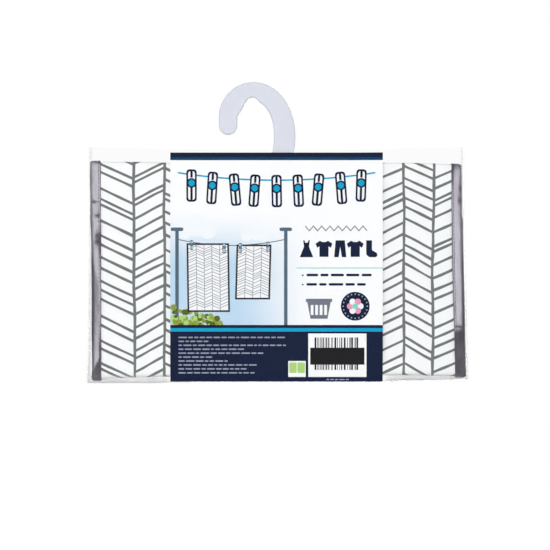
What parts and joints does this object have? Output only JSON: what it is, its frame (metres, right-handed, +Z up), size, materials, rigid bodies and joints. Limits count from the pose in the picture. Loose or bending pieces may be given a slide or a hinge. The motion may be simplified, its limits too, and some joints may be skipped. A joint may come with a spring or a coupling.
{
  "type": "peg bag",
  "caption": "Cloth peg bag with bound edges, folded once on its flat hooked hanger, with a printed card around it, in a clear film pouch with an open top.",
  "frame": {"origin": "seat of the hook, the top of the notch that hangs on a line or rail, in the middle of the hanger's thickness", "axes": "+Z up, the pack's printed face looks along -Y, +X to the right seen from that face"},
  "size_m": [0.303, 0.0133, 0.2408],
  "materials": {
    "hanger": "moulded polypropylene, pale and slightly translucent",
    "cloth": "coated polyester weave with a grey line herringbone print",
    "tape": "woven binding tape, charcoal",
    "thread": "lockstitched polyester thread",
    "card": "printed coated card",
    "film": "clear glossy film"
  },
  "bodies": {
    "hanger": {"hanger": "hanger"},
    "bag": {"back_panel": "cloth", "front_panel": "cloth", "left_binding": "tape", "right_binding": "tape", "flap_binding": "tape", "mouth_binding": "tape", "left_seam_thread": "thread", "right_seam_thread": "thread", "flap_seam_thread": "thread", "mouth_seam_thread": "thread"},
    "card": {"card": "card"},
    "pouch": {"front_film": "film", "back_film": "film", "left_weld": "film", "right_weld": "film", "bottom_fold": "film"}
  },
  "joints": [
    {"name": "bag_lift", "type": "slide", "parent": "hanger", "child": "bag", "axis": [0, 0, 1], "range_m": [0, 0.01]},
    {"name": "card_draw", "type": "slide", "parent": "bag", "child": "card", "axis": [0, 0, -1], "range_m": [0, 0.185]},
    {"name": "pouch_draw", "type": "slide", "parent": "card", "child": "pouch", "axis": [0, 0, -1], "range_m": [0, 0.19]}
  ]
}
